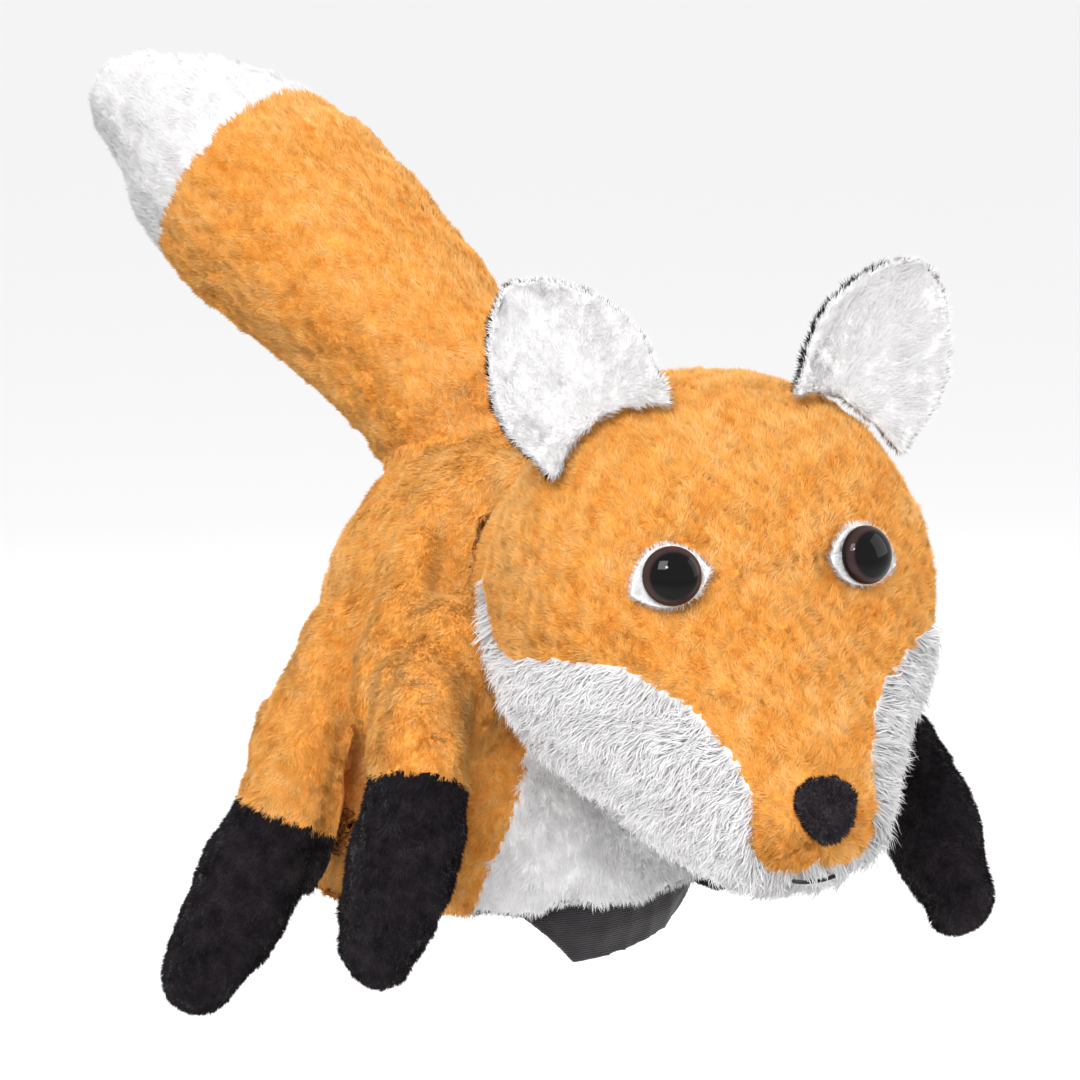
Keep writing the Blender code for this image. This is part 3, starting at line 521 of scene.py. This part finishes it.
def coat(name, skin, slot, pile, flow, seed, follow, keep=None):
    """A coat of tapering spikes that grow from a skin and are lit as the cloth's surface."""
    random = np.random.default_rng(seed)
    places, normals = scattered(skin.data, pile.density, random)
    size = np.ones(len(places))
    if keep:
        size = keep(places)
        kept = size > SHORTEST
        places, normals, size = places[kept], normals[kept], size[kept]
    count = len(places)
    lie = flow(places)
    lie = unit(lie - normals * (lie * normals).sum(axis=1)[:, None])
    side = np.cross(normals, lie)
    wide, fine = ripple(places, 11 * MM, seed), ripple(places, 3.5 * MM, seed + 1)
    turn = pile.wiggle * (0.8 * wide + 0.6 * fine)
    turn += random.normal(0.0, 0.32, count)
    lie = lie * np.cos(turn)[:, None] + side * np.sin(turn)[:, None]
    side = np.cross(normals, lie)
    scatter = random.normal(0.0, 9.0, count)
    lean = np.radians(pile.lean + scatter + 7.0 * ripple(places, 7 * MM, seed + 2))
    way = normals * np.cos(lean)[:, None] + lie * np.sin(lean)[:, None]
    length = pile.length * MM * size * random.uniform(0.7, 1.15, count)
    length *= 1.0 + 0.12 * ripple(places, 5 * MM, seed + 3)
    across = ripple(places, 3.0 * MM, seed + 4)[:, None]
    along = ripple(places, 2.4 * MM, seed + 5)[:, None]
    tuft = side * (pile.tuft * across) + lie * (pile.tuft * along)
    tips = places + (way + 0.35 * tuft) * length[:, None]
    roots = places - normals * ROOT_DEPTH * MM
    up = unit(np.cross(way, side))
    radius = (pile.width * MM / 2 * random.uniform(0.75, 1.2, count))[:, None]
    spokes = [radius * (side * cos(a) + up * sin(a)) for a in SPOKES]
    rows = [roots + spoke for spoke in spokes]
    pattern = [(k, (k + 1) % 3, 3) for k in range(3)]
    heights = [0.0, 0.0, 0.0, 1.0]
    if pile.segments == 2:
        middle = places + (way * JOINT + normals * JOINT_RISE) * length[:, None]
        rows += [middle + spoke * JOINT_WIDTH for spoke in spokes]
        pattern = [(k, (k + 1) % 3, 3 + (k + 1) % 3) for k in range(3)]
        pattern += [(k, 3 + (k + 1) % 3, 3 + k) for k in range(3)]
        pattern += [(3 + k, 3 + (k + 1) % 3, 6) for k in range(3)]
        heights = [0.0] * 3 + [JOINT] * 3 + [1.0]
    rows.append(tips)
    per = len(rows)
    vertices = np.stack(rows, axis=1).reshape(-1, 3)
    slant = pile.tilt * (0.6 * side * across + 0.6 * lie * along)
    lit = unit(normals + slant + 0.12 * random.normal(size=(count, 3)))
    tone = 0.5 + 0.11 * ripple(places, 5 * MM, seed + 6) + 0.09 * ripple(places, 24 * MM, seed + 7)
    tone = np.clip(tone + 0.05 * along[:, 0] + random.normal(0.0, 0.10, count), 0.03, 0.97)
    spread = np.array([-0.01, 0.0, 0.01] * (per // 3) + [0.0])
    u = np.broadcast_to(tone[:, None] + spread[None], (count, per))
    v = np.broadcast_to(0.02 + 0.96 * np.array(heights)[None], (count, per))
    uv = np.stack([np.clip(u, 0.01, 0.99), v], axis=2)
    most = PIECE_FACES // len(pattern)
    for number, first in enumerate(range(0, count, most)):
        chosen = slice(first, min(count, first + most))
        starts = np.arange(chosen.stop - first)[:, None, None] * per
        faces = (starts + np.array(pattern)[None]).reshape(-1, 3)
        piece_name = f"{name}_{number + 1}"
        mesh = mesh_from(piece_name, vertices[first * per : chosen.stop * per], faces, 3)
        custom = mesh.attributes.new("custom_normal", "FLOAT_VECTOR", "POINT")
        lit_rows = np.repeat(lit[chosen], per, axis=0)
        custom.data.foreach_set("vector", lit_rows.astype(np.float32).ravel())
        layer = mesh.uv_layers.new(name="OFBake")
        corner_uv = uv[chosen].reshape(-1, 2)[faces.ravel()]
        layer.data.foreach_set("uv", corner_uv.astype(np.float32).ravel())
        mesh.materials.append(PILE[slot])
        made = new_object(piece_name, mesh)
        follow.take(made)


def flow_towards(way):
    way = np.array(way, float)
    return lambda places: np.broadcast_to(way, places.shape)


# ---------------------------------------------------------------- head


def head_way():
    """The way the muzzle points, from the back of the head to the nose."""
    return (middle_of("nose") - middle_of("rear_head_panel")).normalized()


HEAD_WAY = head_way()


def head_flow(places):
    """Swept back from the nose."""
    back = np.tile(-np.array(HEAD_WAY), (len(places), 1))
    away = unit(places - np.array(middle_of("nose")))
    return back * 0.5 + away * 0.8


def cheek_flow(places):
    """Swept back, and mostly down."""
    return head_flow(places) * 0.55 + np.array((0.0, 0.0, -0.9))


STUBBLE = 0.25  # of a strand's length: the shortest that grows beside a bare place


def face_clearance(nodes, gap, reach):
    """No strands within the gap of these nodes, and shorter ones up to the reach, in mm."""
    tree, _ = tree_of(nodes)
    bare, near = gap * MM, reach * MM

    def keep(places):
        out = np.ones(len(places))
        for k, place in enumerate(places):
            point, _, _, distance = tree.find_nearest(Vector(place), near)
            if point is not None:
                grown = max(0.0, (distance - bare) / (near - bare))
                out[k] = min(1.0, grown + STUBBLE * (distance > bare))
        return out

    return keep


HEAD_GROUPS = {
    "head_cover": (("crown_panel", "muzzle_panel", "rear_head_panel"), "orange_plush"),
    "cheek_cover": (("cheek_left", "cheek_right", "chin_panel"), "white_plush"),
}


# Seams and creases: points in mm, with the depth and width in mm after them
HEAD_FOLDS = (
    (
        ((-30, -107, 90), (-25, -109, 92), (-15, -113, 95), (-6, -115, 96), (2, -116, 94), (6, -117, 91)),
        1.5,
        3.2,
    ),
    (((-24, -83, 132), (-21, -85, 133), (0, -82, 132), (16, -85, 130)), 0.9, 2.0),
    (((-5, -84, 131), (-7, -91, 127), (-8, -98, 122)), 0.9, 1.8),
)


def make_head():
    nodes = [node for group in HEAD_GROUPS.values() for node in group[0]]
    skin = remeshed(joined("head_skin", [*nodes, "head_stuffing"]), 1.4 * MM)
    relax(skin.data, 14)
    shaped(skin.data, 1.3, HEAD_FOLDS, ((0.35, 26.0, 3), (0.16, 9.0, 4)))
    follow = Follow("head")
    made = split_by_group(skin, HEAD_GROUPS, lambda name: follow)
    cover, white = made["head_cover"][0], made["cheek_cover"][0]
    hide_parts("head_stuffing")
    features = [f"{kind}_{side}" for kind in ("eye_patch", "eye") for side in SIDES]
    bare = face_clearance([*features, "nose"], 0.9, 3.5)
    coat("head_fur", cover, "orange_plush", FACE, head_flow, 11, follow, bare)
    mouth = face_clearance(["mouth_stitch", "nose"], 0.8, 3.0)
    coat("cheek_fur", white, "white_plush", LONG, cheek_flow, 12, follow, mouth)


# ---------------------------------------------------------------- ears


def make_ears():
    for k, side in enumerate(SIDES):
        groups = {
            f"ear_{side}_front_cover": ((f"ear_front_{side}",), "white_plush"),
            f"ear_{side}_back_cover": ((f"ear_back_{side}",), "black_plush"),
        }
        nodes = [f"ear_front_{side}", f"ear_back_{side}"]
        skin = remeshed(joined(f"ear_{side}_skin", nodes), 0.9 * MM)
        relax(skin.data, 6)
        shaped(skin.data, 0.2)
        follow = Follow(f"ear_{side}")
        made = split_by_group(skin, groups, lambda name, follow=follow: follow)
        root = np.array(PIVOTS[f"ear_{side}"])

        def flow(places, root=root):
            return unit(places - root)

        front = made[f"ear_{side}_front_cover"][0]
        back = made[f"ear_{side}_back_cover"][0]
        coat(f"ear_{side}_front_fur", front, "white_plush", EAR_FRONT, flow, 21 + k, follow)
        coat(f"ear_{side}_back_fur", back, "black_plush", EAR_BACK, flow, 31 + k, follow)


# ---------------------------------------------------------------- body


LEGS = [f"{pair}_leg_{side}" for pair in ("front", "hind") for side in SIDES]
LIMBS = [*LEGS, "tail"]
NECK_RADIUS = 33.6  # mm: it fills the room between the head and the body
BEND = {"front": (14.0, 34.0), "hind": (14.0, 34.0), "tail": (2.0, 26.0)}  # from its pivot, in mm
SHELL = ("flank_panel_left", "flank_panel_right", "belly_panel", "inner_glove", "hem_binding")
# Folds as above; a depth below 0 is a ridge
BODY_FOLDS = (
    (((-22, 4, 98), (-33, 4, 84), (-41, 3, 66), (-44, 2, 48)), 2.2, 9.0),
    (((-16, -17, 104), (-27, -21, 89), (-33, -26, 76)), 2.0, 6.0),
    (((-23, -3, 104), (-33, -9, 90), (-41, -12, 78), (-50, -18, 68)), -2.4, 5.0),
    (((-29, 61, 184), (-23, 45, 173), (-15, 34, 162), (-10, 24, 152)), 0.9, 2.2),
    (((-37, 46, 166), (-30, 39, 163), (-22, 33, 160)), 1.6, 6.0),
    (((-37, 43, 128), (-30, 27, 123), (-24, 18, 124)), 1.2, 5.0),
    (((-18, 14, 134), (-13, 8, 129), (-10, 4, 122)), 1.6, 5.0),
    (((-75, -48, 44), (-73, -58, 26), (-72, -57, 11)), 1.8, 3.5),
    (((-66, -62, 44), (-68, -63, 30), (-70, -61, 14)), 1.4, 3.0),
    (((-68, 1, 20), (-76, 3, 3), (-83, 9, -10)), 1.6, 4.0),
)


def limb_way(limb):
    """The way a limb leaves the body."""
    if limb == "tail":
        return (middle_of("tail_panel") - PIVOTS[limb]).normalized()
    sleeve_low, sleeve_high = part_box(f"{limb}_sleeve")
    paw_low, paw_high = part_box(f"{limb}_paw")
    aim = (paw_low + paw_high) * 0.3 + (sleeve_low + sleeve_high) * 0.2
    return (aim - PIVOTS[limb]).normalized()


def body_groups():
    groups = {
        "body_cover": (("flank_panel_left", "flank_panel_right"), "orange_plush"),
        "belly_cover": (("belly_panel",), "white_plush"),
        "tail_cover": (("tail_panel",), "orange_plush"),
        "tail_tip_cover": (("tail_tip_panel",), "white_plush"),
    }
    for leg in LEGS:
        groups[f"{leg}_cover"] = ((f"{leg}_sleeve",), "orange_plush")
        groups[f"{leg}_paw_cover"] = ((f"{leg}_paw",), "black_plush")
    return groups


def body_plugs():
    """Rounded pieces that carry the cloth on from the body to its legs and tail."""
    made = []
    for side, x in zip(SIDES, (1.0, -1.0)):
        way = Vector((x, 0.0, 0.0))
        inward = Vector((-x * 3.5, 0.0, 0.0)) * MM
        made.append((PIVOTS[f"front_leg_{side}"] + inward, Vector((14.0, 21.0, 21.5)) * MM, way))
        made.append((PIVOTS[f"hind_leg_{side}"] + inward, Vector((11.5, 19.0, 19.0)) * MM, way))
        slope = Vector((x * 26.0, -13.0, -35.0)).normalized()
        made.append((Vector((x * 44.0, -17.0, 70.0)) * MM, Vector((27.0, 8.5, 8.5)) * MM, slope))
    made.append((PIVOTS["tail"], Vector((19.0, 26.0, 26.0)) * MM, limb_way("tail")))
    return made


def limb_of(name):
    return next((limb for limb in LIMBS if name.startswith(limb)), None)


def body_follow(name):
    limb = limb_of(name)
    if not limb:
        return Follow("glove_body")
    start, end = BEND[limb.split("_")[0]]
    way, pivot = limb_way(limb), PIVOTS[limb]
    return Follow(limb, "glove_body", pivot + way * start * MM, pivot + way * end * MM)


def make_body():
    groups = body_groups()
    nodes = [node for group in groups.values() for node in group[0]]
    fills = [f"{limb}_stuffing" for limb in LIMBS]
    skin = remeshed(joined("body_skin", nodes + fills, body_plugs()), 1.5 * MM)
    relax(skin.data, 16)
    outside = mark_outside(skin.data, SHELL)
    shaped(skin.data, 1.0, BODY_FOLDS, ((0.5, 30.0, 5), (0.22, 11.0, 6)), outside)
    made = split_by_group(skin, groups, body_follow)
    for limb in LIMBS:
        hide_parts(f"{limb}_stuffing")
    down = flow_towards((0.0, 0.25, -1.0))
    piles = {"belly_cover": BELLY, "tail_tip_cover": TIP}
    for number, (name, (piece, slot)) in enumerate(made.items()):
        limb = limb_of(name)
        flow = flow_towards(tuple(limb_way(limb))) if limb else down
        pile = piles.get(name, PAW if slot == "black_plush" else PLUSH)
        seed = 40 + number * 8
        coat(name.replace("cover", "fur"), piece, slot, pile, flow, seed, body_follow(name))


def make_neck():
    ball = Vector((1.0, 1.0, 1.0)) * NECK_RADIUS * MM
    plug = (PIVOTS["neck"], ball, Vector((0.0, 0.0, 1.0)))
    skin = remeshed(joined("neck_skin", [], [plug]), 1.6 * MM)
    relax(skin.data, 4)
    follow = Follow("neck")
    groups = {"neck_cover": (("neck_gusset",), "orange_plush")}
    cover = split_by_group(skin, groups, lambda name: follow)["neck_cover"][0]
    flow = flow_towards((0.0, 1.0, -0.3))
    coat("neck_fur", cover, "orange_plush", PLUSH, flow, 200, follow)


# ---------------------------------------------------------------- face


DOME_HEIGHT = 4.6  # mm, from the eye's seat to its top
DOME_EDGE = 0.7  # mm, from its seat to the rounding
DOME_COLUMNS, DOME_ROWS = 64, 20


def make_eye(side):
    """A polished dome with a brown ring around its pupil."""
    points = points_of(NODES[f"eye_{side}"].data)
    washer = points_of(NODES[f"eye_washer_{side}"].data).mean(axis=0)
    way = Vector(points.mean(axis=0) - washer).normalized()
    along = (points - washer) @ np.array(way)
    top = along.max()
    radius = np.linalg.norm((points - washer) - along[:, None] * np.array(way), axis=1).max()
    dome, edge = DOME_HEIGHT * MM, DOME_EDGE * MM
    profile = [(0.2 * radius, -4.0 * MM), (0.94 * radius, -0.2 * MM), (radius, 0.3 * MM)]
    for a in np.linspace(0.0, pi / 2, DOME_ROWS):
        profile.append((radius * cos(a), edge + (dome - edge) * sin(a)))
    turn = way.to_track_quat("Z", "Y")
    base = Vector(washer) + way * (top - dome)
    bm = bmesh.new()
    rings = []
    for ring_radius, height in profile:
        ring = []
        for k in range(DOME_COLUMNS):
            a = 2 * pi * k / DOME_COLUMNS
            corner = Vector((ring_radius * cos(a), ring_radius * sin(a), height))
            ring.append(bm.verts.new(base + turn @ corner))
        rings.append(ring)
    for low, high in zip(rings, rings[1:]):
        for k in range(DOME_COLUMNS):
            m = (k + 1) % DOME_COLUMNS
            bm.faces.new((low[k], low[m], high[m], high[k]))
    bm.faces.new(rings[0][::-1])
    bmesh.ops.remove_doubles(bm, verts=bm.verts, dist=1e-6)
    bmesh.ops.recalc_face_normals(bm, faces=bm.faces)
    mesh = bpy.data.meshes.new(f"eye_{side}_glass")
    bm.to_mesh(mesh)
    bm.free()
    mesh.shade_smooth()
    mesh.materials.append(eye_material(f"eye_glass_{side}", base, way, radius))
    made = new_object(f"eye_{side}_glass", mesh)
    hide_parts(f"eye_{side}")
    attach(made, "head")


def eye_material(name, base, way, radius):
    """Black in the middle and at the edge, with a brown ring between them."""
    made, tree, shader = shader_of(name, 0.04, 0.0, 0.16)
    place = tree.nodes.new("ShaderNodeTexCoord")
    away = tree.nodes.new("ShaderNodeVectorMath")
    away.operation = "SUBTRACT"
    away.inputs[1].default_value = base
    tree.links.new(place.outputs["Object"], away.inputs[0])
    cross = tree.nodes.new("ShaderNodeVectorMath")
    cross.operation = "CROSS_PRODUCT"
    cross.inputs[1].default_value = way
    tree.links.new(away.outputs["Vector"], cross.inputs[0])
    far = tree.nodes.new("ShaderNodeVectorMath")
    far.operation = "LENGTH"
    tree.links.new(cross.outputs["Vector"], far.inputs[0])
    share = tree.nodes.new("ShaderNodeMath")
    share.operation = "DIVIDE"
    share.inputs[1].default_value = radius
    tree.links.new(far.outputs["Value"], share.inputs[0])
    black, brown = (0.002, 0.0015, 0.002), (0.034, 0.017, 0.016)
    edge = (0.008, 0.005, 0.006)
    stops = ((0.0, black), (0.76, black), (0.84, brown), (0.93, brown), (0.99, edge))
    tree.links.new(ramp_of(tree, share.outputs["Value"], stops), shader.inputs["Base Color"])
    return made


def smooth_copy(name, nodes, voxel, rounds, material, slot, body, inset=0.0, waves=()):
    """A smoother piece in place of CAD nodes of thin cloth or felt."""
    made = remeshed(joined(name, nodes), voxel * MM)
    relax(made.data, rounds)
    shaped(made.data, inset, (), waves)
    made.data.materials.clear()
    made.data.materials.append(material)
    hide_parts(*nodes)
    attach(made, body)
    return made


def painted(node, material):
    """Gives a CAD node that stays visible its material."""
    materials = NODES[node].data.materials
    materials.clear()
    materials.append(material)


def make_face():
    follow = Follow("head")
    felt = felt_material("white_felt", WHITE, WHITE_LIGHT)
    fleece = felt_material("black_fleece", BLACK_DARK, BLACK_LIGHT, 1400.0)
    for side in SIDES:
        make_eye(side)
        cloth = [f"eye_patch_{side}"]
        patch = smooth_copy(f"eye_{side}_felt", cloth, 0.35, 4, felt, "eye_felt", "head")
        bare = face_clearance([f"eye_{side}"], 0.3, 1.2)
        seed = 230 + len(side)
        coat(f"eye_{side}_nap", patch, "white_plush", FELT_NAP, head_flow, seed, follow, bare)
    nose = smooth_copy("nose_fleece", ["nose"], 0.45, 8, fleece, "black_fleece", "head", -0.35)
    coat("nose_fur", nose, "black_plush", FLEECE, head_flow, 220, follow)
    painted("mouth_stitch", felt_material("thread", BLACK_DARK, BLACK, 3000.0))
    nylon = nylon_material()
    for side in SIDES:
        painted(f"eye_washer_{side}", nylon)


# ---------------------------------------------------------------- glove


def make_glove():
    lining = knit_material("glove_lining", (0.016, 0.013, 0.016), (0.034, 0.028, 0.033))
    cuff = knit_material("cuff_cloth", (0.009, 0.007, 0.009), (0.017, 0.014, 0.016), 3600.0)
    waves = ((0.35, 22.0, 81),)
    body = ("glove_lining", "glove_body")
    smooth_copy("glove_knit", ["inner_glove"], 1.0, 8, lining, *body, 0.0, waves)
    smooth_copy("hem_tape", ["hem_binding"], 0.8, 6, lining, *body)
    smooth_copy("cuff_knit", ["wrist_cuff"], 0.7, 8, cuff, "cuff_cloth", "glove_body", 0.0, waves)
    smooth_copy("head_pocket_knit", ["head_finger_pocket"], 0.8, 6, lining, "glove_lining", "head")
    for side in SIDES:
        leg = f"front_leg_{side}"
        pocket = [f"{leg}_finger_pocket"]
        smooth_copy(f"{leg}_pocket_knit", pocket, 0.8, 6, lining, "glove_lining", leg)


# ---------------------------------------------------------------- stage


def make_stage():
    floor_height = -0.22
    mesh = bpy.data.meshes.new("floor")
    reach = 12.0
    corners = [(-reach, -reach), (reach, -reach), (reach, reach), (-reach, reach)]
    mesh.from_pydata([(x, y, floor_height) for x, y in corners], [], [(0, 1, 2, 3)])
    floor = new_object("floor", mesh)
    made, _, shader = shader_of("pale_floor", 0.9, 0.0, 0.1)
    shader.inputs["Base Color"].default_value = (0.9, 0.9, 0.9, 1.0)
    mesh.materials.append(made)

    world = bpy.data.worlds.new("studio")
    bpy.context.scene.world = world
    world.use_nodes = True
    background = world.node_tree.nodes["Background"]
    background.inputs["Color"].default_value = (1.0, 1.0, 1.0, 1.0)
    background.inputs["Strength"].default_value = 1.0
    bpy.context.scene.view_settings.view_transform = "Standard"

    area_light("key", (-0.75, -0.55, 0.75), 0.5, 9.0)
    area_light("glint", (-0.50, -0.62, 0.50), 0.09, 1.6)
    area_light("fill", (0.75, -0.55, 0.35), 0.7, 3.0)
    area_light("rim", (0.35, 0.75, 0.65), 0.6, 5.0)


def area_light(name, place, size, power):
    data = bpy.data.lights.new(name, "AREA")
    data.size = size
    data.energy = power
    made = bpy.data.objects.new(name, data)
    bpy.context.scene.collection.objects.link(made)
    made.location = CAMERA_AIM + Vector(place)
    made.rotation_euler = Vector(place).to_track_quat("Z", "Y").to_euler()


def make_camera():
    a, e = radians(CAMERA_AZIMUTH), radians(CAMERA_ELEVATION)
    back = Vector((sin(a) * cos(e), -cos(a) * cos(e), sin(e)))
    data = bpy.data.cameras.new("camera")
    data.sensor_width = 36.0
    data.lens = data.sensor_width * CAMERA_DISTANCE / FRAME_WIDTH
    data.clip_end = 100.0
    camera = bpy.data.objects.new("camera", data)
    bpy.context.scene.collection.objects.link(camera)
    camera.location = CAMERA_AIM + back * CAMERA_DISTANCE
    camera.rotation_euler = back.to_track_quat("Z", "Y").to_euler()
    bpy.context.scene.camera = camera


make_camera()
make_stage()
make_head()
make_ears()
make_neck()
make_body()
make_face()
make_glove()
